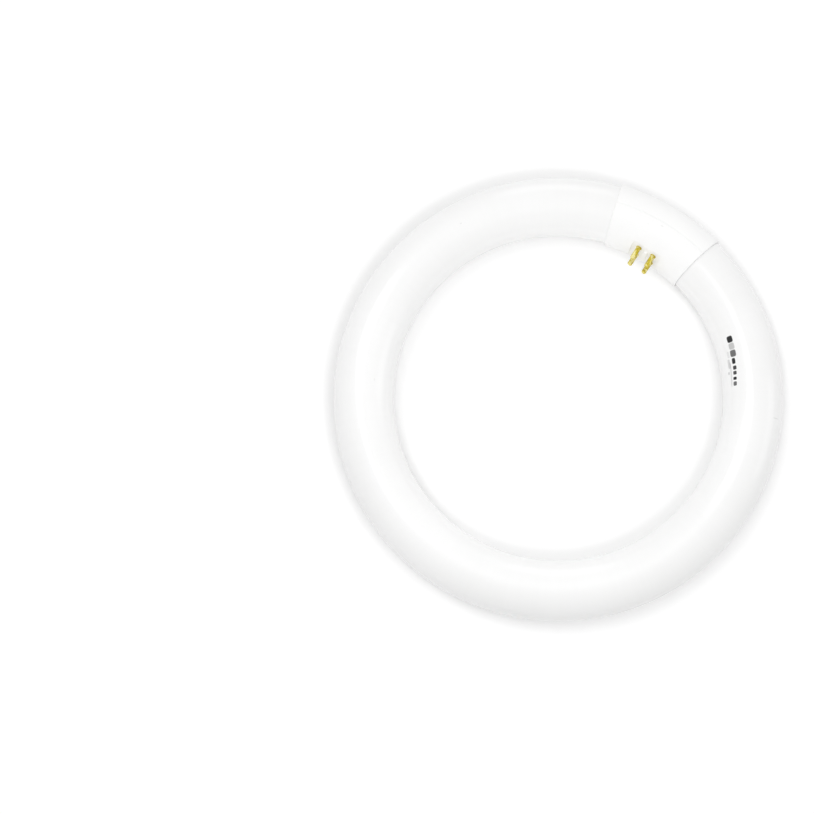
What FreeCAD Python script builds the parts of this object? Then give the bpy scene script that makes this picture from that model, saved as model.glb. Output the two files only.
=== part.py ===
import FreeCAD, Part
import math
import os
import Sketcher
from FreeCAD import Placement, Rotation, Vector

# Circular discharge tube with a four-pin base, lying flat with its pins to the front (+Z).
# The origin is the ring's centre, in the plane of the tube's centreline.
# The base is centred on +Y and is symmetric about the YZ plane.
# Its pins lean from the ring's plane towards +Z and point at the hole in the middle.

SIZES = {
    "ring_radius": 93.7,        # centreline of the bent tube
    "tube_diameter": 28.6,      # nine eighths of an inch
    "tube_gap": 26.0,           # between the sealed ends, inside the base
    "shoulder_radius": 5.0,     # rounding of each sealed end
    "flare_diameter": 11.0,     # dimple where the stem is sealed in
    "flare_depth": 2.2,
    "cap_length": 48.0,         # base, along the centreline
    "cap_wall": 0.95,
    "cap_clearance": 0.15,      # base to glass, all round
    "rib_thickness": 1.0,       # webs inside the base that keep the glass ends in place
    "rib_clearance": 0.5,       # web to glass end
    "rib_height": 4.4,          # inwards from the base's inner wall
    "rib_root": 0.2,            # depth of a web's root in the wall
    "rib_setback": 0.6,         # web to the seam's edge, at its root
    "pin_tilt": 18.0,           # degrees, pins above the ring's plane
    "seam_reach": 81.0,         # degrees, pin axis to seam, each way
    "seam_gap": 0.06,
    "seam_lap": 1.6,            # overlap of the two shells
    "lap_clearance": 0.05,
    "recess_depth": 1.2,        # below the base's round surface
    "recess_length": 15.3,
    "recess_width": 13.0,
    "floor_length": 17.6,
    "floor_width": 11.6,
    "floor_thickness": 3.0,
    "pin_diameter": 2.4,
    "pin_length": 7.1,          # above the recess floor
    "shank_diameter": 2.9,      # held in the floor
    "shank_proud": 0.3,         # shoulder above the floor
    "pin_fit": 0.03,
    "pin_pitch": 7.92,          # along the ring
    "row_pitch": 6.35,          # across the ring
    "pin_nose": 0.55,           # rounding of a pin's tip
    "pin_mark": 0.8,            # dimple in a pin's tip
    "collar_diameter": 4.0,
    "collar_thickness": 0.8,
    "pin_tail": 3.0,            # below the collar
    "tail_diameter": 2.0,
    "pin_bore": 1.0,
    "bore_depth": 8.0,
    "key_width": 2.6,
    "key_length": 6.4,
    "key_height": 1.0,
    "wire_diameter": 0.8,
    "wire_bend": 2.4,
    "wire_spare": 1.0,          # bore left empty past a wire's end
}

# Lengths that several pieces share, worked out from the sheet
GLASS = "sizes.tube_diameter / 2"
INSIDE = "(sizes.tube_diameter / 2 + sizes.cap_clearance)"
OUTSIDE = "(sizes.tube_diameter / 2 + sizes.cap_clearance + sizes.cap_wall)"
LAP_LINE = "(sizes.tube_diameter / 2 + sizes.cap_clearance + sizes.cap_wall / 2)"
TONGUE = f"({LAP_LINE} - sizes.lap_clearance)"
FLOOR = f"({OUTSIDE} - sizes.recess_depth)"
GAP_ANGLE = "(sizes.tube_gap / sizes.ring_radius * 180 / pi)"
FLARE_ANGLE = "((sizes.tube_gap + 2 * sizes.flare_depth) / sizes.ring_radius * 180 / pi)"
CAP_ANGLE = "(sizes.cap_length / sizes.ring_radius * 180 / pi)"
RIB_PLACE = ("((sizes.tube_gap / 2 - sizes.rib_clearance - sizes.rib_thickness / 2)"
             " / sizes.ring_radius * 180 / pi)")
RIB_EDGE = f"({INSIDE} - sizes.rib_height)"
RIB_ROOT = f"({INSIDE} + sizes.rib_root)"
RIB_SETBACK = f"(sizes.rib_setback / {INSIDE} * 180 / pi)"
LAP_ANGLE = f"(sizes.seam_lap / {LAP_LINE} * 180 / pi)"
SEAM_ANGLE = f"(sizes.seam_gap / {OUTSIDE} * 180 / pi)"
# Directions in the section, in degrees from outwards over the front
FRONT_SEAM = "(180 - sizes.pin_tilt - sizes.seam_reach)"
BACK_SEAM = "(180 - sizes.pin_tilt + sizes.seam_reach)"

doc = FreeCAD.newDocument("circular_tube")
sheet = doc.addObject("Spreadsheet::Sheet", "sizes")
for row, (name, size) in enumerate(SIZES.items(), start=1):
    sheet.set(f"A{row}", name)
    sheet.set(f"B{row}", str(size))
    sheet.setAlias(f"B{row}", name)
doc.recompute()


# The number that an expression on the sheet gives
def value(expression):
    result = sheet.evalExpression(expression)
    return float(getattr(result, "Value", result))


def new_body(name):
    body = doc.addObject("PartDesign::Body", name)
    body.Label = name
    return body


def origin_plane(body, role):
    return next(f for f in body.Origin.OriginFeatures if f.Role == role)


# A sketch on an origin plane, or across the pins at a height from the centreline,
# or on the YZ plane turned about the ring's axis
def new_sketch(body, name, role, lift=None, turn=None):
    sketch = body.newObject("Sketcher::SketchObject", name)
    sketch.AttachmentSupport = [(origin_plane(body, role), "")]
    sketch.MapMode = "FlatFace"
    if lift:
        sketch.AttachmentOffset = Placement(Vector(0, 1, 1), Rotation(Vector(1, 0, 0), 45))
        sketch.setExpression("AttachmentOffset.Base.y",
                             f"sizes.ring_radius - {lift} * cos(sizes.pin_tilt)")
        sketch.setExpression("AttachmentOffset.Base.z", f"{lift} * sin(sizes.pin_tilt)")
        sketch.setExpression("AttachmentOffset.Rotation.Angle", "90 - sizes.pin_tilt")
    if turn:
        sketch.AttachmentOffset = Placement(Vector(), Rotation(Vector(0, 1, 0), 1))
        sketch.setExpression("AttachmentOffset.Rotation.Angle", turn)
    return sketch


def constrain(sketch, constraint, name, expression):
    index = sketch.addConstraint(constraint)
    sketch.renameConstraint(index, name)
    sketch.setExpression(f"Constraints.{name}", expression)


def hold_height(sketch, edge, end, y, name):
    if y == "0":
        sketch.addConstraint(Sketcher.Constraint("PointOnObject", edge, end, -1))
    else:
        constrain(sketch, Sketcher.Constraint("DistanceY", -1, 1, edge, end, value(y)), name, y)


# Hold one point of a sketch at expressions x and y from the origin
def pin_down(sketch, edge, end, x, y, name):
    if x == "0":
        sketch.addConstraint(Sketcher.Constraint("PointOnObject", edge, end, -2))
    else:
        constrain(sketch, Sketcher.Constraint("DistanceX", -1, 1, edge, end, value(x)),
                  f"{name}_x", x)
    hold_height(sketch, edge, end, y, f"{name}_y")


def draw_circle(sketch, x, y, diameter, name="rim"):
    centre = Vector(value(x), value(y), 0)
    edge = sketch.addGeometry(Part.Circle(centre, Vector(0, 0, 1), value(diameter) / 2))
    constrain(sketch, Sketcher.Constraint("Diameter", edge, value(diameter)),
              f"{name}_diameter", diameter)
    pin_down(sketch, edge, 3, x, y, name)


# A closed outline. Each corner is a pair of expressions, and arcs gives the turn (+1
# anticlockwise, -1 clockwise) and the centre of the round side that starts at a corner.
def draw_outline(sketch, corners, arcs=None):
    arcs = arcs or {}
    points = [Vector(value(x), value(y), 0) for x, y in corners]
    for side, start in enumerate(points):
        finish = points[(side + 1) % len(points)]
        if side not in arcs:
            sketch.addGeometry(Part.LineSegment(start, finish))
            continue
        turn, centre_x, centre_y = arcs[side]
        middle = Vector(value(centre_x), value(centre_y), 0)
        first, last = (start, finish) if turn > 0 else (finish, start)
        angles = [math.atan2(p.y - middle.y, p.x - middle.x) for p in (first, last)]
        circle = Part.Circle(middle, Vector(0, 0, 1), start.distanceToPoint(middle))
        sketch.addGeometry(Part.ArcOfCircle(circle, *angles))
    for side in range(len(points)):
        turn = arcs[side][0] if side in arcs else 1
        begin, end = (1, 2) if turn > 0 else (2, 1)
        after = (side + 1) % len(points)
        next_begin = 1 if after not in arcs or arcs[after][0] > 0 else 2
        sketch.addConstraint(Sketcher.Constraint("Coincident", side, end, after, next_begin))
        pin_down(sketch, side, begin, *corners[side], f"corner{side}")
        if side in arcs:
            hold_height(sketch, side, 3, arcs[side][2], f"centre{side}_y")


def draw_rectangle(sketch, length, width):
    x = f"{length} / 2"
    y = f"{width} / 2"
    draw_outline(sketch, [(f"-{x}", f"-{y}"), (x, f"-{y}"), (x, y), (f"-{x}", y)])


# An outline with half-round ends, long in the sketch's y direction
def draw_slot(sketch, width, length):
    x = f"{width} / 2"
    y = f"({length} - {width}) / 2"
    draw_outline(sketch, [(f"-{x}", y), (f"-{x}", f"-{y}"), (x, f"-{y}"), (x, y)],
                 {1: (1, "0", f"-{y}"), 3: (1, "0", y)})


# Add a feature; a text value is an expression and any other is a setting
def feature(body, kind, name, sketch, **sizes):
    step = body.newObject(f"PartDesign::{kind}", name)
    step.Profile = sketch
    if kind in ("Revolution", "Groove"):
        step.ReferenceAxis = (sketch, ["V_Axis"])
    for prop, setting in sizes.items():
        if isinstance(setting, str):
            step.setExpression(prop, setting)
        else:
            setattr(step, prop, setting)
    before = body_volume(body)
    doc.recompute()
    after = step.Shape.Volume
    if kind in ("Pocket", "Groove") and after > before - 1e-6:
        raise ValueError(f"{body.Name}.{name} cut nothing")
    if kind in ("Pad", "Revolution") and after < before + 1e-6:
        raise ValueError(f"{body.Name}.{name} added nothing")
    return step


def body_volume(body):
    done = [f for f in body.Group if f.isDerivedFrom("PartDesign::Feature")]
    done = [f for f in done if not f.Shape.isNull()]
    return done[-1].Shape.Volume if done else 0.0


# Fillet the edges of the body's last shape that chosen(edge) picks
def round_edges(body, name, radius, chosen):
    base = body.Tip
    edges = [f"Edge{i}" for i, edge in enumerate(base.Shape.Edges, start=1) if chosen(edge)]
    fillet = body.newObject("PartDesign::Fillet", name)
    fillet.Base = (base, edges)
    fillet.setExpression("Radius", radius)
    doc.recompute()


# A point of the tube's section, as a pair of expressions
def polar(radius, degrees):
    x = f"sizes.ring_radius + {radius} * cos({degrees})"
    return x, f"{radius} * sin({degrees})"


# A round side about the tube's centreline
def around(turn):
    return turn, "sizes.ring_radius", "0"


# The part of the tube's section between two radii and two directions
def draw_band(sketch, inner, outer, start, stop):
    draw_outline(sketch, [polar(outer, start), polar(outer, stop),
                          polar(inner, stop), polar(inner, start)],
                 {0: around(1), 2: around(-1)})


# Two flat webs across the inside of the base, one in front of each glass end
def add_ribs(body, start, stop):
    section = new_sketch(body, "web_section", "YZ_Plane", turn=RIB_PLACE)
    draw_band(section, RIB_EDGE, RIB_ROOT, f"({start} + {RIB_SETBACK})", f"({stop} - {RIB_SETBACK})")
    web = feature(body, "Pad", "web", section, Length="sizes.rib_thickness", Midplane=True)
    mirror = body.newObject("PartDesign::Mirrored", "other_web")
    mirror.Originals = [web]
    mirror.MirrorPlane = (origin_plane(body, "YZ_Plane"), [""])
    body.Tip = mirror
    before = body_volume(body)
    doc.recompute()
    if mirror.Shape.Volume < before + 1e-6:
        raise ValueError(f"{body.Name}.{mirror.Name} added nothing")


# True for the edge of a radial end face that lies at this radius from the centreline
def is_end_arc(edge, radius):
    if not isinstance(edge.Curve, Part.Circle):
        return False
    flat = abs(edge.Curve.Axis.z) < 0.01
    return flat and abs(edge.Curve.Radius - value(radius)) < 0.01


# Glass: one sealed tube bent to a ring, with a domed end each side of the gap
glass = new_body("glass_tube")
section = new_sketch(glass, "tube_section", "YZ_Plane")
draw_circle(section, "-sizes.ring_radius", "0", "sizes.tube_diameter")
feature(glass, "Revolution", "ring", section, Angle=f"360 - {GAP_ANGLE}", Midplane=True)
section = new_sketch(glass, "flare_section", "YZ_Plane")
draw_circle(section, "sizes.ring_radius", "0", "sizes.flare_diameter")
feature(glass, "Groove", "stem_flares", section, Angle=FLARE_ANGLE, Midplane=True)
round_edges(glass, "shoulders", "sizes.shoulder_radius", lambda e: is_end_arc(e, GLASS))

# Base, half that carries the pins: its outer lip laps over the cover's tongue at both seams
pin_shell = new_body("base_pin_shell")
wall = new_sketch(pin_shell, "wall_section", "YZ_Plane")
draw_outline(wall, [
    polar(OUTSIDE, FRONT_SEAM), polar(OUTSIDE, BACK_SEAM),
    polar(LAP_LINE, BACK_SEAM), polar(LAP_LINE, f"({BACK_SEAM} - {LAP_ANGLE})"),
    polar(INSIDE, f"({BACK_SEAM} - {LAP_ANGLE})"), polar(INSIDE, f"({FRONT_SEAM} + {LAP_ANGLE})"),
    polar(LAP_LINE, f"({FRONT_SEAM} + {LAP_ANGLE})"), polar(LAP_LINE, FRONT_SEAM),
], {0: around(1), 2: around(-1), 4: around(-1), 6: around(-1)})
feature(pin_shell, "Revolution", "wall", wall, Angle=CAP_ANGLE, Midplane=True)
add_ribs(pin_shell, f"({FRONT_SEAM} + {LAP_ANGLE})", f"({BACK_SEAM} - {LAP_ANGLE})")
block = new_sketch(pin_shell, "floor_outline", "XY_Plane", lift=f"({FLOOR} - sizes.floor_thickness)")
draw_rectangle(block, "sizes.floor_length", "sizes.floor_width")
feature(pin_shell, "Pad", "pin_floor", block,
        Length="sizes.floor_thickness + sizes.recess_depth + sizes.cap_wall")
recess = new_sketch(pin_shell, "recess_outline", "XY_Plane", lift=FLOOR)
draw_rectangle(recess, "sizes.recess_length", "sizes.recess_width")
feature(pin_shell, "Pocket", "recess", recess, Length="3 * sizes.recess_depth", Reversed=True)
key = new_sketch(pin_shell, "key_outline", "XY_Plane", lift=FLOOR)
draw_slot(key, "sizes.key_width", "sizes.key_length")
feature(pin_shell, "Pad", "key", key, Length="sizes.key_height")
trim = new_sketch(pin_shell, "outside_section", "YZ_Plane")
BEYOND = f"({OUTSIDE} + sizes.floor_thickness)"
draw_band(trim, OUTSIDE, BEYOND, FRONT_SEAM, BACK_SEAM)
feature(pin_shell, "Groove", "round_outside", trim, Angle=CAP_ANGLE, Midplane=True)
holes = new_sketch(pin_shell, "pin_holes", "XY_Plane", lift=FLOOR)
HALF_PITCH = "sizes.pin_pitch / 2"
HALF_ROW = "sizes.row_pitch / 2"
PLACES = [(f"{a}{HALF_PITCH}", f"{b}{HALF_ROW}") for b in ("", "-") for a in ("-", "")]
for number, (x, y) in enumerate(PLACES, start=1):
    draw_circle(holes, x, y, "(sizes.shank_diameter + 2 * sizes.pin_fit)", f"hole{number}")
feature(pin_shell, "Pocket", "pin_bores", holes, Length="2 * sizes.floor_thickness")

# Base, cover half: the rest of the wall, with a tongue under the other half's lip
cover = new_body("base_cover")
wall = new_sketch(cover, "wall_section", "YZ_Plane")
START = f"({BACK_SEAM} + {SEAM_ANGLE})"
STOP = f"({FRONT_SEAM} + 360 - {SEAM_ANGLE})"
draw_outline(wall, [
    polar(OUTSIDE, START), polar(OUTSIDE, STOP),
    polar(TONGUE, STOP), polar(TONGUE, f"({STOP} + {LAP_ANGLE})"),
    polar(INSIDE, f"({STOP} + {LAP_ANGLE})"), polar(INSIDE, f"({START} - {LAP_ANGLE})"),
    polar(TONGUE, f"({START} - {LAP_ANGLE})"), polar(TONGUE, START),
], {0: around(1), 2: around(1), 4: around(-1), 6: around(1)})
feature(cover, "Revolution", "wall", wall, Angle=CAP_ANGLE, Midplane=True)
add_ribs(cover, START, STOP)

# Contact pins: turned brass, pushed in from inside up to a collar under the recess floor
UNDER = "sizes.floor_thickness"
COLLAR = f"({UNDER} + sizes.collar_thickness)"
TAIL = f"({COLLAR} + sizes.pin_tail)"
PIN = "sizes.pin_diameter / 2"
SHANK = "sizes.shank_diameter / 2"
BORE_TOP = f"(sizes.bore_depth - {TAIL})"
for number, (x, y) in enumerate(PLACES, start=1):
    pin = new_body(f"contact_pin_{number}")
    pin.Placement = Placement(Vector(0, 1, 1), Rotation(Vector(1, 0, 0), 45))
    pin.setExpression("Placement.Base.x", x)
    pin.setExpression("Placement.Base.y", f"sizes.ring_radius - {FLOOR} * cos(sizes.pin_tilt)"
                                          f" + {y} * sin(sizes.pin_tilt)")
    pin.setExpression("Placement.Base.z",
                      f"{FLOOR} * sin(sizes.pin_tilt) + {y} * cos(sizes.pin_tilt)")
    pin.setExpression("Placement.Rotation.Angle", "90 - sizes.pin_tilt")
    half = new_sketch(pin, f"pin_half_{number}", "XZ_Plane")
    draw_outline(half, [
        ("0", "sizes.pin_length - sizes.pin_mark / 2"), ("sizes.pin_mark / 2", "sizes.pin_length"),
        (PIN, "sizes.pin_length"), (PIN, "sizes.shank_proud"),
        (SHANK, "sizes.shank_proud"), (SHANK, f"-{UNDER}"),
        ("sizes.collar_diameter / 2", f"-{UNDER}"), ("sizes.collar_diameter / 2", f"-{COLLAR}"),
        ("sizes.tail_diameter / 2", f"-{COLLAR}"), ("sizes.tail_diameter / 2", f"-{TAIL}"),
        ("sizes.pin_bore / 2", f"-{TAIL}"), ("sizes.pin_bore / 2", BORE_TOP), ("0", BORE_TOP),
    ])
    feature(pin, "Revolution", f"turned_{number}", half, Angle="360")
    round_edges(pin, f"nose_{number}", "sizes.pin_nose",
                lambda e: isinstance(e.Curve, Part.Circle)
                and abs(e.Curve.Radius - value(PIN)) < 0.001
                and e.BoundBox.ZMin > value("sizes.pin_length") - 0.001)

# Lead wires: straight out of the sealed end, then round one bend and up a pin's bore
tilt = math.radians(value("sizes.pin_tilt"))
outward = Vector(0, -math.cos(tilt), math.sin(tilt))
across = Vector(0, math.sin(tilt), math.cos(tilt))
for number, (x, y) in enumerate(PLACES, start=1):
    side = math.copysign(1, value(x))
    turn = side * math.radians(value(FLARE_ANGLE)) / 2
    ring = value("sizes.ring_radius")
    seal = Vector(ring * math.sin(turn), ring * math.cos(turn), 0)
    along = Vector(-side * math.cos(turn), side * math.sin(turn), 0)
    corner = Vector(value(x), ring, 0) + across * value(y)
    start = corner - along * (corner - seal).dot(along)
    finish = corner + outward * (value(f"{FLOOR} + {BORE_TOP}") - value("sizes.wire_spare"))
    # The bend touches both runs at the same distance from their corner
    half_turn = along.getAngle(outward) / 2
    reach = value("sizes.wire_bend") * math.tan(half_turn)
    middle = corner + (outward - along).normalize() * (
        value("sizes.wire_bend") / math.cos(half_turn) - value("sizes.wire_bend"))
    bend_start = corner - along * reach
    bend_end = corner + outward * reach
    path = Part.Wire([
        Part.LineSegment(start, bend_start).toShape(),
        Part.Arc(bend_start, middle, bend_end).toShape(),
        Part.LineSegment(bend_end, finish).toShape(),
    ])
    rim = Part.Wire(Part.Circle(start, along, value("sizes.wire_diameter") / 2).toShape())
    wire = doc.addObject("Part::Feature", f"lead_wire_{number}")
    wire.Label = f"lead_wire_{number}"
    wire.Shape = path.makePipeShell([rim], True, False)
    wire.Placement = Placement()

doc.recompute()
failed = [o.Name for o in doc.Objects if {"Invalid", "Error"} & set(o.State)]
if failed:
    raise ValueError(f"failed objects: {failed}")
pieces = [o for o in doc.Objects
          if o.isDerivedFrom("PartDesign::Body") or o.TypeId == "Part::Feature"]
for piece in pieces:
    if piece.Shape.isNull() or not piece.Shape.isValid() or len(piece.Shape.Solids) != 1:
        raise ValueError(f"{piece.Label} is not one valid solid")

os.makedirs("parts", exist_ok=True)
for piece in pieces:
    piece.Shape.exportStep(f"parts/{piece.Label}.step")
    print(f"{piece.Label}: {piece.Shape.Volume:.1f} mm3, {len(piece.Shape.Faces)} faces")
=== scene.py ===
import bpy
import bmesh
from math import atan2, cos, pi, radians, sin, sqrt
from mathutils import Matrix, Vector


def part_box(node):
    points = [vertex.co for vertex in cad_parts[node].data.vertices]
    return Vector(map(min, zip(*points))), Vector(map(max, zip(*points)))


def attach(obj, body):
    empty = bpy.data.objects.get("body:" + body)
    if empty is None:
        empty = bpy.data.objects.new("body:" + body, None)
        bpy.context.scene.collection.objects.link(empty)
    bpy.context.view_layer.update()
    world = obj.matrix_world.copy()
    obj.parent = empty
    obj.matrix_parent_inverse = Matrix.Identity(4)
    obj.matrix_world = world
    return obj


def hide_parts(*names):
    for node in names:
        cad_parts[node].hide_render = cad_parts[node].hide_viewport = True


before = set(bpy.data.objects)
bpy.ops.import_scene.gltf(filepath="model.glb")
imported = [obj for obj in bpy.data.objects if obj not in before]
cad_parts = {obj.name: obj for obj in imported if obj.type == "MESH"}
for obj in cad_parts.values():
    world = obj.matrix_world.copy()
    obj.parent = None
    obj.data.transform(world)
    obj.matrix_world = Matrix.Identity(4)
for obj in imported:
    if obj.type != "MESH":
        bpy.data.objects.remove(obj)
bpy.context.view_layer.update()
mm = 0.001
print("frame loaded:", len(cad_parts), "nodes")

# Directions shared by the pieces: az runs clockwise from +Y seen from the front,
# and a direction in the tube's section runs from inwards, over the front, to outwards.
layout = {
    "centreline": 93.7 * mm,
    "tubeRadius": 14.3 * mm,
    "baseInner": 14.45 * mm,
    "baseOuter": 15.4 * mm,
    "baseLength": 48.0 * mm,    # along the centreline
    "pinTilt": radians(18),
    "recessFloor": 14.2 * mm,   # from the tube's centreline
    "sharpFrom": radians(32),
    "speckEdge": (0.2, 1.4),    # soft rim of a speck, in squares of its half size
}
# How near counts as the same when points and edges are picked
near = {
    "point": 0.001 * mm,
    "corner": 0.01 * mm,
    "turn": 1e-4,
}
alongPins = Vector((0, -cos(layout["pinTilt"]), sin(layout["pinTilt"])))
acrossPins = Vector((0, sin(layout["pinTilt"]), cos(layout["pinTilt"])))
baseCentre = Vector((0, layout["centreline"], 0))


def ringPoint(az, section, radius):
    reach = layout["centreline"] - radius * cos(section)
    return Vector((reach * sin(az), reach * cos(az), radius * sin(section)))


# Shader sockets that take Python's operators
class Sock:
    def __init__(self, nodes, socket):
        self.nodes = nodes
        self.socket = socket

    def calc(self, operation, *others):
        return self.nodes.add("ShaderNodeMath", {"operation": operation}, [self, *others])

    def __add__(self, other):
        return self.calc("ADD", other)

    __radd__ = __add__

    def __sub__(self, other):
        return self.calc("SUBTRACT", other)

    def __rsub__(self, other):
        return self.nodes.add("ShaderNodeMath", {"operation": "SUBTRACT"}, [other, self])

    def __mul__(self, other):
        return self.calc("MULTIPLY", other)

    __rmul__ = __mul__

    def __truediv__(self, other):
        return self.calc("DIVIDE", other)

    def __rtruediv__(self, other):
        return self.nodes.add("ShaderNodeMath", {"operation": "DIVIDE"}, [other, self])

    def ramp(self, low, high, toLow=0.0, toHigh=1.0):
        settings = {"interpolation_type": "SMOOTHSTEP"}
        return self.nodes.add("ShaderNodeMapRange", settings, [self, low, high, toLow, toHigh])


# The node tree of a new material, or of what is given
class Nodes:
    def __init__(self, name, owner=None):
        self.material = owner or bpy.data.materials.new(name)
        self.material.use_nodes = True
        self.tree = self.material.node_tree
        self.tree.nodes.clear()

    # One node: its settings first, then the values or links of its sockets
    def add(self, kind, settings=None, values=None, out=0):
        node = self.tree.nodes.new(kind)
        for name, setting in (settings or {}).items():
            setattr(node, name, setting)
        pairs = enumerate(values) if isinstance(values, list) else (values or {}).items()
        for key, given in pairs:
            if isinstance(given, Sock):
                self.tree.links.new(given.socket, node.inputs[key])
            else:
                node.inputs[key].default_value = given
        return Sock(self, node.outputs[out]) if node.outputs else None

    def place(self):
        return self.add("ShaderNodeTexCoord", {}, out=3)

    def axes(self):
        split = self.add("ShaderNodeSeparateXYZ", {}, {"Vector": self.place()})
        return [Sock(self, output) for output in split.socket.node.outputs]

    def noise(self, where, scale, detail):
        return self.add("ShaderNodeTexNoise", {}, {"Vector": where, "Scale": scale, "Detail": detail})

    def bump(self, height, strength, distance):
        values = {"Strength": strength, "Distance": distance, "Height": height}
        return self.add("ShaderNodeBump", {}, values)

    def mix(self, factor, first, second):
        node = self.tree.nodes.new("ShaderNodeMix")
        node.data_type = "RGBA"
        for name, given in (("Factor_Float", factor), ("A_Color", first), ("B_Color", second)):
            socket = next(s for s in node.inputs if s.identifier == name)
            if isinstance(given, Sock):
                self.tree.links.new(given.socket, socket)
            else:
                socket.default_value = given
        return Sock(self, next(s for s in node.outputs if s.identifier == "Result_Color"))

    def finish(self, **sockets):
        names = {key.replace("_", " "): given for key, given in sockets.items()}
        shader = self.add("ShaderNodeBsdfPrincipled", {}, names)
        self.add("ShaderNodeOutputMaterial", {}, {"Surface": shader})
        return self.material


# Azimuth round the ring and direction in the tube's section, both in degrees
def polarPlace(nodes):
    x, y, z = nodes.axes()
    reach = (x * x + y * y).calc("SQRT")
    az = x.calc("ARCTAN2", y) * (180 / pi)
    section = z.calc("ARCTAN2", layout["centreline"] - reach) * (180 / pi)
    return az, section


# Camera of the photograph: nearly straight above, a little from the near side
camera = {
    "distance": 792.9 * mm,
    "fromNear": radians(-9.39),
    "fromLeft": radians(-0.39),
    "turn": radians(31.5),      # picture's up, anticlockwise from +Y
    "focalPixels": 1645.5,
    "centrePixel": (558.3, 395.2),
    "frame": 814,
    "sensor": 36.0,
    "clipStart": 10.0 * mm,
}


def makeCamera():
    tilt, side = camera["fromNear"], camera["fromLeft"]
    stand = Vector((sin(side) * cos(tilt), sin(tilt), cos(side) * cos(tilt)))
    back = stand.normalized()
    right = Vector((0, 1, 0)).cross(back).normalized()
    up = back.cross(right)
    turn = Matrix.Rotation(camera["turn"], 3, "Z")
    axes = [turn @ axis for axis in (right, up, back)]
    data = bpy.data.cameras.new("photoCamera")
    data.sensor_width = camera["sensor"]
    data.lens = camera["focalPixels"] / camera["frame"] * camera["sensor"]
    half = camera["frame"] / 2
    data.shift_x = (half - camera["centrePixel"][0]) / camera["frame"]
    data.shift_y = (camera["centrePixel"][1] - half) / camera["frame"]
    data.clip_start = camera["clipStart"]
    view = bpy.data.objects.new("photoCamera", data)
    bpy.context.scene.collection.objects.link(view)
    facing = Matrix(axes).transposed().to_4x4()
    view.matrix_world = Matrix.Translation(turn @ stand * camera["distance"]) @ facing
    bpy.context.scene.camera = view


makeCamera()
print("camera placed")


# Turn a bmesh into a smooth piece that rides on the lamp and stands for CAD nodes
def newPiece(name, bm, material, slot, *nodes):
    mesh = bpy.data.meshes.new(name)
    bmesh.ops.recalc_face_normals(bm, faces=bm.faces)
    for face in bm.faces:
        face.smooth = True
    for edge in bm.edges:
        edge.smooth = len(edge.link_faces) == 2 and edge.calc_face_angle(0) < layout["sharpFrom"]
    bm.to_mesh(mesh)
    bm.free()
    piece = bpy.data.objects.new(name, mesh)
    bpy.context.scene.collection.objects.link(piece)
    mesh.materials.append(material)
    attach(piece, "root")
    if nodes:
        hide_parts(*nodes)


# Glass tube
glass = {
    "gap": 26.0 * mm,           # between the sealed ends, inside the base
    "shoulder": 5.0 * mm,
    "shoulderSteps": 6,
    "around": 96,
    "along": 320,
    "white": (0.95, 0.95, 0.948, 1),
    "thin": (0.905, 0.905, 0.90, 1),     # coating where it is thinner
    "cloudScale": 14.0,
    "cloudEdge": (0.35, 0.65),
    "cloudShare": 0.46,
    "streakAlong": 520.0,
    "streakAcross": 45.0,
    "streakEdge": (0.3, 0.7),
    "streakShare": 0.14,
    "rippleScale": 35.0,
    "rippleRise": (0.06, 2.0 * mm),
    "rough": 0.45,
    "gloss": (0.5, 1.8, 0.12),  # weight, index and roughness of the bare glass over the coating
    "ink": (0.003, 0.003, 0.004, 1),
    "greyInk": (0.30, 0.30, 0.31, 1),
    # small marks in the coating: az, section, half sizes in degrees, strength
    "specks": [(65.5, 137.0, 0.16, 9.0, 0.20), (-61.5, 91.0, 0.4, 1.4, 0.14),
               (-118.0, 64.0, 0.5, 1.3, 0.10), (151.0, 58.0, 0.45, 1.1, 0.08)],
    "speckColour": (0.30, 0.30, 0.29, 1),
}
# Printed mark: plain rounded blocks in two inks. Each has the azimuths where it starts and
# stops, its middle and its height in the tube's section, all in degrees, and its strength.
mark = {
    "ink": [(40.3, 42.4, 55.1, 12.0, 1.00), (42.6, 44.7, 54.6, 12.0, 0.42),
            (44.9, 47.1, 53.8, 12.5, 0.86), (47.5, 49.4, 51.7, 7.5, 1.00),
            (50.0, 51.3, 51.6, 7.8, 0.96), (51.7, 52.9, 50.4, 7.8, 0.94),
            (53.6, 54.6, 49.2, 7.8, 1.00), (55.1, 56.5, 48.6, 7.8, 0.86)],
    "greyInk": [(44.9, 47.1, 42.4, 5.5, 0.26), (47.5, 50.6, 39.8, 6.5, 0.40),
                (51.6, 52.5, 35.6, 4.5, 0.46), (48.6, 56.6, 41.4, 3.6, 0.34)],
    "slant": -0.32,             # the print isn't quite in line with the tube
    "soft": (0.5, 1.5),
}


# Soft round spots at places given in azimuth and section
def speckMask(az, section, specks):
    total = 0.0
    for spotAz, spotSection, halfAlong, halfAcross, strength in specks:
        along = (az - spotAz) / halfAlong
        across = (section - spotSection) / halfAcross
        total = total + (along * along + across * across).ramp(*layout["speckEdge"], strength, 0.0)
    return total


# All blocks of one ink, with soft and slightly rounded outlines
def inkMask(az, section, blocks):
    total = 0.0
    for start, stop, middle, tall, strength in blocks:
        along = az - (start + stop) / 2
        across = (section - along * mark["slant"] - middle) / (tall / 2)
        along = along / ((stop - start) / 2)
        size = along * along * along * along + across * across * across * across
        total = total + size.ramp(*mark["soft"], strength, 0.0)
    return total


# Streaks that run round the tube's section, without a join anywhere on the ring
def streaks(nodes):
    x, y, z = nodes.axes()
    along = glass["streakAlong"] * layout["centreline"] / (x * x + y * y).calc("SQRT")
    where = nodes.add("ShaderNodeCombineXYZ", {}, [x * along, y * along, z * glass["streakAcross"]])
    return nodes.noise(where, 1.0, 2.0).ramp(*glass["streakEdge"])


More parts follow.
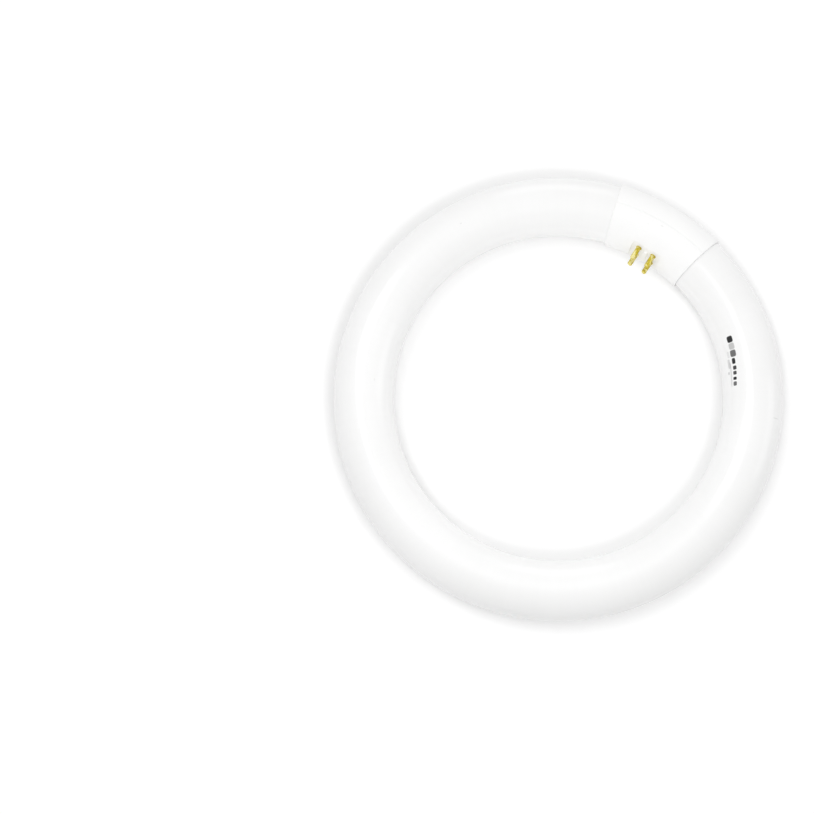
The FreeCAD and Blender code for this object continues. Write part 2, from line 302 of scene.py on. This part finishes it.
def makeGlassMaterial():
    nodes = Nodes("coatedGlass")
    where = nodes.place()
    az, section = polarPlace(nodes)
    cloud = nodes.noise(where, glass["cloudScale"], 2.0).ramp(*glass["cloudEdge"])
    wearAndHighlight = cloud * glass["cloudShare"] + streaks(nodes) * glass["streakShare"]
    coat = nodes.mix(wearAndHighlight, glass["white"], glass["thin"])
    inked = nodes.mix(speckMask(az, section, glass["specks"]), coat, glass["speckColour"])
    matt = 0.0
    for ink in ("ink", "greyInk"):
        mask = inkMask(az, section, mark[ink])
        inked = nodes.mix(mask, inked, glass[ink])
        matt = mask + matt
    ripple = nodes.noise(where, glass["rippleScale"], 1.0)
    weight, index, coatRough = glass["gloss"]
    return nodes.finish(Base_Color=inked, Roughness=glass["rough"], Coat_Weight=(1 - matt) * weight,
                        Coat_IOR=index, Coat_Roughness=coatRough,
                        Normal=nodes.bump(ripple, *glass["rippleRise"]))


def makeGlassTube():
    bm = bmesh.new()
    radius = layout["tubeRadius"]
    halfGap = glass["gap"] / layout["centreline"] / 2
    bmesh.ops.create_circle(bm, segments=glass["around"], radius=radius)
    toSection = Matrix.Translation(baseCentre) @ Matrix.Rotation(radians(90), 4, "Y")
    toEnd = Matrix.Rotation(-halfGap, 4, "Z")
    bmesh.ops.transform(bm, matrix=toEnd @ toSection, verts=bm.verts)
    first = list(bm.edges)
    swept = bmesh.ops.spin(bm, geom=first, axis=(0, 0, 1), cent=(0, 0, 0),
                           angle=-(2 * pi - 2 * halfGap), steps=glass["along"])
    last = [item for item in swept["geom_last"] if isinstance(item, bmesh.types.BMEdge)]
    for rim, az in ((first, halfGap), (last, -halfGap)):
        domeEnd(bm, rim, az, radius)
    newPiece("glassTube", bm, makeGlassMaterial(), "coated_glass", "glass_tube")


# Draw the tube's end in by a quarter round, then close it
def domeEnd(bm, rim, az, radius):
    centre = ringPoint(az, 0, 0)
    inwards = Vector((cos(az), -sin(az), 0)) * (-1 if az > 0 else 1)
    shoulder = glass["shoulder"]
    size = radius
    moved = 0.0
    for step in range(1, glass["shoulderSteps"] + 1):
        turn = radians(90) * step / glass["shoulderSteps"]
        newSize = radius - shoulder * (1 - cos(turn))
        slide = shoulder * sin(turn) - moved
        grown = bmesh.ops.extrude_edge_only(bm, edges=rim)["geom"]
        verts = [item for item in grown if isinstance(item, bmesh.types.BMVert)]
        rim = [item for item in grown if isinstance(item, bmesh.types.BMEdge)
               and all(v in verts for v in item.verts)]
        toCentre = Matrix.Translation(-(centre + inwards * moved))
        bmesh.ops.scale(bm, vec=[newSize / size] * 3, space=toCentre, verts=verts)
        bmesh.ops.translate(bm, vec=inwards * slide, verts=verts)
        size = newSize
        moved += slide
    bmesh.ops.edgeloop_fill(bm, edges=rim)


makeGlassTube()
print("glass tube made")


# Base: two moulded half shells with a stepped lap at both seams
base = {
    "seamReach": radians(81),   # pin axis to seam, each way
    "seamGap": 0.03 * mm,
    "lapLine": 14.925 * mm,     # middle of the wall
    "lapLong": 1.6 * mm,
    "lapSlack": 0.05 * mm,
    "arcSteps": 56,
    "lapSteps": 3,
    "along": 48,
    "endRound": 0.44 * mm,
    "seamRound": 0.20 * mm,
    "floorUnder": 11.2 * mm,    # underside of the thick floor, from the centreline
    "floorHalf": 8.8 * mm,
    "recessHalf": 7.65 * mm,
    "recessMargin": 1.0 * mm,
    "keyWidth": 2.6 * mm,
    "keyLength": 6.4 * mm,
    "keyHeight": 1.0 * mm,
    "keyRound": 0.35 * mm,
    "keySunk": 0.3 * mm,
    "keySteps": 32,
    "white": (0.975, 0.975, 0.972, 1),
    "shade": (0.955, 0.955, 0.952, 1),
    "cloudScale": 40.0,
    "cloudEdge": (0.35, 0.7),
    "cloudShare": 0.5,
    "grainScale": 900.0,
    "grainRise": (0.08, 0.4 * mm),
    "grainEdge": (0.3, 0.7),
    "rough": (0.44, 0.54),
    "specks": [(0.4, 92.0, 0.5, 1.2, 0.14), (-3.5, 83.0, 0.35, 1.0, 0.08)],
    "speckColour": (0.35, 0.35, 0.34, 1),
}
halfTurn = layout["baseLength"] / layout["centreline"] / 2
seamTurn = base["seamGap"] / layout["baseOuter"]
lapTurn = base["lapLong"] / base["lapLine"]
frontSeam = layout["pinTilt"] + base["seamReach"]
backSeam = layout["pinTilt"] - base["seamReach"]


def makeBaseMaterial():
    nodes = Nodes("mouldedWhite")
    where = nodes.place()
    az, section = polarPlace(nodes)
    cloud = nodes.noise(where, base["cloudScale"], 3.0).ramp(*base["cloudEdge"])
    colour = nodes.mix(cloud * base["cloudShare"], base["white"], base["shade"])
    colour = nodes.mix(speckMask(az, section, base["specks"]), colour, base["speckColour"])
    grain = nodes.noise(where, base["grainScale"], 2.0)
    rough = grain.ramp(*base["grainEdge"], *base["rough"])
    return nodes.finish(Base_Color=colour, Roughness=rough,
                        Normal=nodes.bump(grain, *base["grainRise"]))


baseMaterial = makeBaseMaterial()


# A closed outline of arcs in the section, swept along the ring. Each arc has its radius,
# the directions where it starts and stops, and its steps.
def sweepShell(*arcs):
    bm = bmesh.new()
    loop = []
    for radius, start, stop, steps in arcs:
        turns = [start + (stop - start) * i / steps for i in range(steps + 1)]
        loop += [bm.verts.new(ringPoint(-halfTurn, turn, radius)) for turn in turns]
    outline = [bm.edges.new(pair) for pair in zip(loop, loop[1:] + loop[:1])]
    swept = bmesh.ops.spin(bm, geom=outline, axis=(0, 0, 1), cent=(0, 0, 0),
                           angle=-2 * halfTurn, steps=base["along"])
    last = [item for item in swept["geom_last"] if isinstance(item, bmesh.types.BMEdge)]
    for rim in (outline, last):
        bmesh.ops.edgeloop_fill(bm, edges=rim)
    return bm


# Direction in the section and distance from the tube's centreline
def sectionOf(point):
    reach = layout["centreline"] - sqrt(point.x ** 2 + point.y ** 2)
    return atan2(point.z, reach), sqrt(reach ** 2 + point.z ** 2)


def roundEdges(bm, chosen, width, segments=4):
    edges = [edge for edge in bm.edges if chosen(edge)]
    bmesh.ops.bevel(bm, geom=edges, offset=width, offset_type="OFFSET", affect="EDGES",
                    segments=segments, profile=0.5, material=-1)


def onOutside(edge):
    return all(abs(sectionOf(v.co)[1] - layout["baseOuter"]) < near["corner"] for v in edge.verts)


def onEnd(edge):
    return onOutside(edge) and all(
        abs(abs(atan2(v.co.x, v.co.y)) - halfTurn) < near["turn"] for v in edge.verts)


def onSeam(edge, *seams):
    def away(vert):
        turn = sectionOf(vert.co)[0]
        return min(abs((turn - seam + pi) % (2 * pi) - pi) for seam in seams)
    return onOutside(edge) and all(away(vert) < near["turn"] for vert in edge.verts)


def makeCover():
    start = frontSeam + seamTurn
    stop = backSeam - seamTurn + 2 * pi
    tongue = base["lapLine"] - base["lapSlack"]
    steps, lapSteps = base["arcSteps"], base["lapSteps"]
    bm = sweepShell((layout["baseOuter"], start, stop, steps),
                    (tongue, stop, stop + lapTurn, lapSteps),
                    (layout["baseInner"], stop + lapTurn, start - lapTurn, steps),
                    (tongue, start - lapTurn, start, lapSteps))
    roundEdges(bm, lambda edge: onSeam(edge, start, stop), base["seamRound"])
    roundEdges(bm, onEnd, base["endRound"])
    newPiece("baseCover", bm, baseMaterial, "base_plastic", "base_cover")


def makePinShell():
    steps, lapSteps = base["arcSteps"], base["lapSteps"]
    bm = sweepShell((layout["baseOuter"], backSeam, frontSeam, steps),
                    (base["lapLine"], frontSeam, frontSeam - lapTurn, lapSteps),
                    (layout["baseInner"], frontSeam - lapTurn, backSeam + lapTurn, steps),
                    (base["lapLine"], backSeam + lapTurn, backSeam, lapSteps))
    thickenFloor(bm)
    cutRecess(bm)
    roundEdges(bm, lambda edge: onSeam(edge, backSeam, frontSeam), base["seamRound"])
    roundEdges(bm, onEnd, base["endRound"])
    addKey(bm)
    newPiece("basePinShell", bm, baseMaterial, "base_plastic", "base_pin_shell")


# Height along the pins from the tube's centreline at the middle of the base
def heightOf(point):
    return (point - baseCentre).dot(alongPins)


# Push the inner wall down under the recess, to leave a thick floor
def thickenFloor(bm):
    for vert in bm.verts:
        inner = sectionOf(vert.co)[1] < layout["baseInner"] + near["corner"]
        above = heightOf(vert.co) - base["floorUnder"]
        if inner and abs(vert.co.x) < base["floorHalf"] and above > 0:
            vert.co -= alongPins * above


# Faces with their edges and corners, for a cut
def withEdges(faces):
    edges = dict.fromkeys(edge for face in faces for edge in face.edges)
    verts = dict.fromkeys(vert for face in faces for vert in face.verts)
    return [*faces, *edges, *verts]


# Slice the round wall flat over the pins' footprint, and close the cut with flat faces
def cutRecess(bm):
    half = base["recessHalf"]
    low = base["floorUnder"] + base["recessMargin"]
    floor = layout["recessFloor"]

    def above(face, height):
        return heightOf(face.calc_center_median()) > height

    def amid(face):
        return abs(face.calc_center_median().x) < half

    for side in (-half, half):
        outside = withEdges([face for face in bm.faces if above(face, low)])
        bmesh.ops.bisect_plane(bm, geom=outside, dist=near["point"], plane_co=(side, 0, 0),
                               plane_no=(1, 0, 0))
    over = withEdges([face for face in bm.faces if amid(face) and above(face, low)])
    bmesh.ops.bisect_plane(bm, geom=over, dist=near["point"], plane_co=baseCentre + alongPins * floor,
                           plane_no=alongPins)
    cut = [face for face in bm.faces if amid(face) and above(face, floor + near["point"])]
    bmesh.ops.delete(bm, geom=cut, context="FACES")
    rim = [edge for edge in bm.edges
           if edge.is_boundary and all(heightOf(vert.co) > low for vert in edge.verts)]
    corners = [vert for vert in dict.fromkeys(vert for edge in rim for vert in edge.verts)
               if abs(abs(vert.co.x) - half) < near["corner"]
               and abs(heightOf(vert.co) - floor) < near["corner"]]
    walls = [bm.edges.new([vert for vert in corners if vert.co.x * side > 0]) for side in (-1, 1)]
    bmesh.ops.edgenet_fill(bm, edges=rim + walls)


# Rounded key between the two columns of pins
def addKey(bm):
    width, length, height = base["keyWidth"], base["keyLength"], base["keyHeight"]
    made = bmesh.ops.create_circle(bm, cap_ends=True, segments=base["keySteps"],
                                   radius=width / 2)
    verts = made["verts"]
    for vert in verts:
        vert.co.y += (length - width) / 2 * (1 if vert.co.y > 0 else -1)
    face = verts[0].link_faces[0]
    grown = bmesh.ops.extrude_face_region(bm, geom=[face])["geom"]
    top = [item for item in grown if isinstance(item, bmesh.types.BMVert)]
    bmesh.ops.translate(bm, vec=(0, 0, height), verts=top)
    rim = [edge for edge in bm.edges if all(vert in top for vert in edge.verts)]
    bmesh.ops.translate(bm, vec=(0, 0, -base["keySunk"]), verts=verts)
    bmesh.ops.transform(bm, matrix=tiltedPlace(0, 0), verts=verts + top)
    roundEdges(bm, lambda edge: edge in rim, base["keyRound"])


# Matrix from a frame on the recess floor, +Z along the pins, to the lamp's frame
def tiltedPlace(x, y):
    origin = baseCentre + alongPins * layout["recessFloor"] + acrossPins * y + Vector((x, 0, 0))
    axes = Matrix((Vector((1, 0, 0)), acrossPins, alongPins)).transposed().to_4x4()
    return Matrix.Translation(origin) @ axes


makeCover()
makePinShell()
print("base shells made")


# Contact pins
pins = {
    "pitch": 7.92 * mm,
    "rows": 6.35 * mm,
    "radius": 1.2 * mm,
    "length": 7.1 * mm,
    "shank": 1.45 * mm,
    "shankProud": 0.3 * mm,
    "floor": 3.0 * mm,
    "collar": 2.0 * mm,
    "collarThick": 0.8 * mm,
    "tail": 1.0 * mm,
    "tailLong": 3.0 * mm,
    "bore": 0.5 * mm,
    "boreDeep": 8.0 * mm,
    "nose": 0.5 * mm,
    "noseSteps": 6,
    "dimple": 0.4 * mm,
    "around": 48,
    "brass": (0.56, 0.45, 0.04, 1),
    # Pale spots on the pins: partly lighter wear, partly a painted highlight that stands in for glints
    "wearAndHighlight": (0.84, 0.77, 0.36, 1),
    "wearAndHighlightScale": 420.0,
    "wearAndHighlightEdge": (0.42, 0.62),
    "roughEdge": (0.3, 0.75),
    "rough": (0.20, 0.34),
}


def makeBrass():
    nodes = Nodes("pinBrass")
    cloud = nodes.noise(nodes.place(), pins["wearAndHighlightScale"], 3.0)
    # The pale spots mixed into the brass are partly wear and partly a painted highlight
    colour = nodes.mix(cloud.ramp(*pins["wearAndHighlightEdge"]), pins["brass"], pins["wearAndHighlight"])
    rough = cloud.ramp(*pins["roughEdge"], *pins["rough"])
    return nodes.finish(Base_Color=colour, Metallic=1.0, Roughness=rough)


# The outer rim of a pin's free end, while the pin still stands upright
def onNose(edge):
    return all(abs(v.co.z - pins["length"]) < near["point"]
               and abs(v.co.to_2d().length - pins["radius"]) < near["point"] for v in edge.verts)


def makePin(number, x, y, material):
    bm = bmesh.new()
    under = -pins["floor"]
    tailTop = under - pins["collarThick"]
    tail = tailTop - pins["tailLong"]
    turned = [
        (0, pins["length"] - pins["dimple"] / 2), (pins["dimple"], pins["length"]),
        (pins["radius"], pins["length"]), (pins["radius"], pins["shankProud"]),
        (pins["shank"], pins["shankProud"]), (pins["shank"], under),
        (pins["collar"], under), (pins["collar"], tailTop), (pins["tail"], tailTop),
        (pins["tail"], tail), (pins["bore"], tail), (pins["bore"], tail + pins["boreDeep"]),
        (0, tail + pins["boreDeep"]),
    ]
    verts = [bm.verts.new((r, 0, z)) for r, z in turned]
    chain = [bm.edges.new(pair) for pair in zip(verts, verts[1:])]
    bmesh.ops.spin(bm, geom=chain, axis=(0, 0, 1), cent=(0, 0, 0), angle=2 * pi,
                   steps=pins["around"], use_merge=True)
    bmesh.ops.remove_doubles(bm, verts=bm.verts, dist=near["point"])
    roundEdges(bm, onNose, pins["nose"], pins["noseSteps"])
    bmesh.ops.transform(bm, matrix=tiltedPlace(x, y), verts=bm.verts)
    newPiece(f"contactPin{number}", bm, material, "pin_brass", f"contact_pin_{number}")


def makePins():
    brass = makeBrass()
    spots = [(x, y) for y in (1, -1) for x in (-1, 1)]
    for number, (x, y) in enumerate(spots, start=1):
        makePin(number, x * pins["pitch"] / 2, y * pins["rows"] / 2, brass)


makePins()
print("pins made")


# Lead wires
wires = {
    "dull": (0.62, 0.60, 0.56, 1),
    "bright": (0.75, 0.73, 0.70, 1),
    "grainScale": 500.0,
    "roughEdge": (0.3, 0.7),
    "rough": (0.3, 0.5),
}


# The lead wires keep their solids and get a plain tinned finish
def dressWires():
    nodes = Nodes("tinnedWire")
    dull = nodes.noise(nodes.place(), wires["grainScale"], 2.0)
    colour = nodes.mix(dull, wires["dull"], wires["bright"])
    rough = dull.ramp(*wires["roughEdge"], *wires["rough"])
    tinned = nodes.finish(Base_Color=colour, Metallic=1.0, Roughness=rough)
    for name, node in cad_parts.items():
        if name.startswith("lead_wire"):
            node.data.materials.clear()
            node.data.materials.append(tinned)


dressWires()


# Floor, lamps and world
studio = {
    "floorSize": 6.0,
    "floorWhite": (0.82, 0.82, 0.82, 1),
    "floorLift": 0.29,          # seen by camera, gloss and glass only
    "farLift": (0.3, 2.5, 0.0, 0.40),        # more of it far away, where the lamps fade
    # Painted shadow: the floor is made darker in a soft band along the ring's outline
    "paintedShadowDepth": 0.16,          # less of it along the ring's outline, as in the photograph
    "paintedShadowWide": (-2 * mm, 6.5 * mm),
    "paintedShadowCentre": (-5.5 * mm, 4.7 * mm),     # the camera looks down a little from one side
    "paintedShadowSpread": 1.02,
    "background": 1.0,          # the same rays, above the floor's edge
    "surround": 0.725,          # light that reaches the lamp from all sides
    # each lamp: degrees clockwise from the picture's top, lean from straight up and distance,
    # then its width, length along the lean, watts, and whether gloss shows it. The inner lamp
    # stands past the ring's middle and faces the inner side at the picture's top.
    "lamps": {
        "key": (307, 23.5, 3.0, 0.70, 1.65, 11.5, True),
        "top": (0, 70, 3.0, 1.4, 1.4, 4.6, True),
        "side": (90, 70, 3.0, 1.4, 1.4, 4.4, True),
        "middle": (180, 3, 0.34, 0.16, 0.16, 0.20, False),
        "inner": (188, 88, -0.014, 0.03, 0.03, 0.0046, False),
    },
}


def backgroundRays(nodes):
    paths = nodes.add("ShaderNodeLightPath")
    seen = [Sock(nodes, paths.socket.node.outputs[name])
            for name in ("Is Camera Ray", "Is Glossy Ray", "Is Transmission Ray")]
    return seen[0].calc("MAXIMUM", seen[1]).calc("MAXIMUM", seen[2])


def makeFloor():
    low = min(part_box(name)[0].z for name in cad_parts)
    bm = bmesh.new()
    bmesh.ops.create_grid(bm, x_segments=1, y_segments=1, size=studio["floorSize"] / 2)
    bmesh.ops.translate(bm, vec=(0, 0, low), verts=bm.verts)
    mesh = bpy.data.meshes.new("floor")
    bm.to_mesh(mesh)
    bm.free()
    floor = bpy.data.objects.new("floor", mesh)
    bpy.context.scene.collection.objects.link(floor)
    nodes = Nodes("paleFloor")
    across, along = (axis - shift for axis, shift in zip(nodes.axes(), studio["paintedShadowCentre"]))
    reach = (across * across + along * along).calc("SQRT")
    beyond = (reach / studio["paintedShadowSpread"] - layout["centreline"]).calc("ABSOLUTE") - layout["tubeRadius"]
    # Painted shadow: a soft darker band on the floor along the ring's outline, taken off the lift
    paintedShadow = beyond.ramp(*studio["paintedShadowWide"], studio["paintedShadowDepth"], 0.0)
    far = reach.ramp(*studio["farLift"])
    lift = backgroundRays(nodes) * (studio["floorLift"] + far - paintedShadow)
    diffuse = nodes.add("ShaderNodeBsdfDiffuse", {}, {"Color": studio["floorWhite"]})
    glow = nodes.add("ShaderNodeEmission", {}, {"Strength": lift})
    both = nodes.add("ShaderNodeAddShader", {}, [diffuse, glow])
    nodes.add("ShaderNodeOutputMaterial", {}, {"Surface": both})
    mesh.materials.append(nodes.material)


def makeLamp(name, az, lean, away, wide, long, watts, glossy):
    data = bpy.data.lights.new(name + "Lamp", "AREA")
    data.shape = "RECTANGLE"
    data.size, data.size_y = wide, long
    data.energy = watts
    light = bpy.data.objects.new(name + "Lamp", data)
    light.visible_camera = False
    light.visible_glossy = glossy
    bpy.context.scene.collection.objects.link(light)
    turned = Matrix.Rotation(camera["turn"] - radians(az), 4, "Z")
    leaned = turned @ Matrix.Rotation(-radians(lean), 4, "X")
    light.matrix_world = leaned @ Matrix.Translation((0, 0, away))


def makeWorld():
    world = bpy.data.worlds.new("studio")
    bpy.context.scene.world = world
    nodes = Nodes("studio", world)
    ray = backgroundRays(nodes)
    strength = ray * studio["background"] + (1 - ray) * studio["surround"]
    sky = nodes.add("ShaderNodeBackground", {}, {"Color": (1, 1, 1, 1), "Strength": strength})
    nodes.add("ShaderNodeOutputWorld", {}, {"Surface": sky})


makeFloor()
for name, lamp in studio["lamps"].items():
    makeLamp(name, *lamp)
makeWorld()
bpy.context.scene.view_settings.view_transform = "Standard"
print("studio lit")
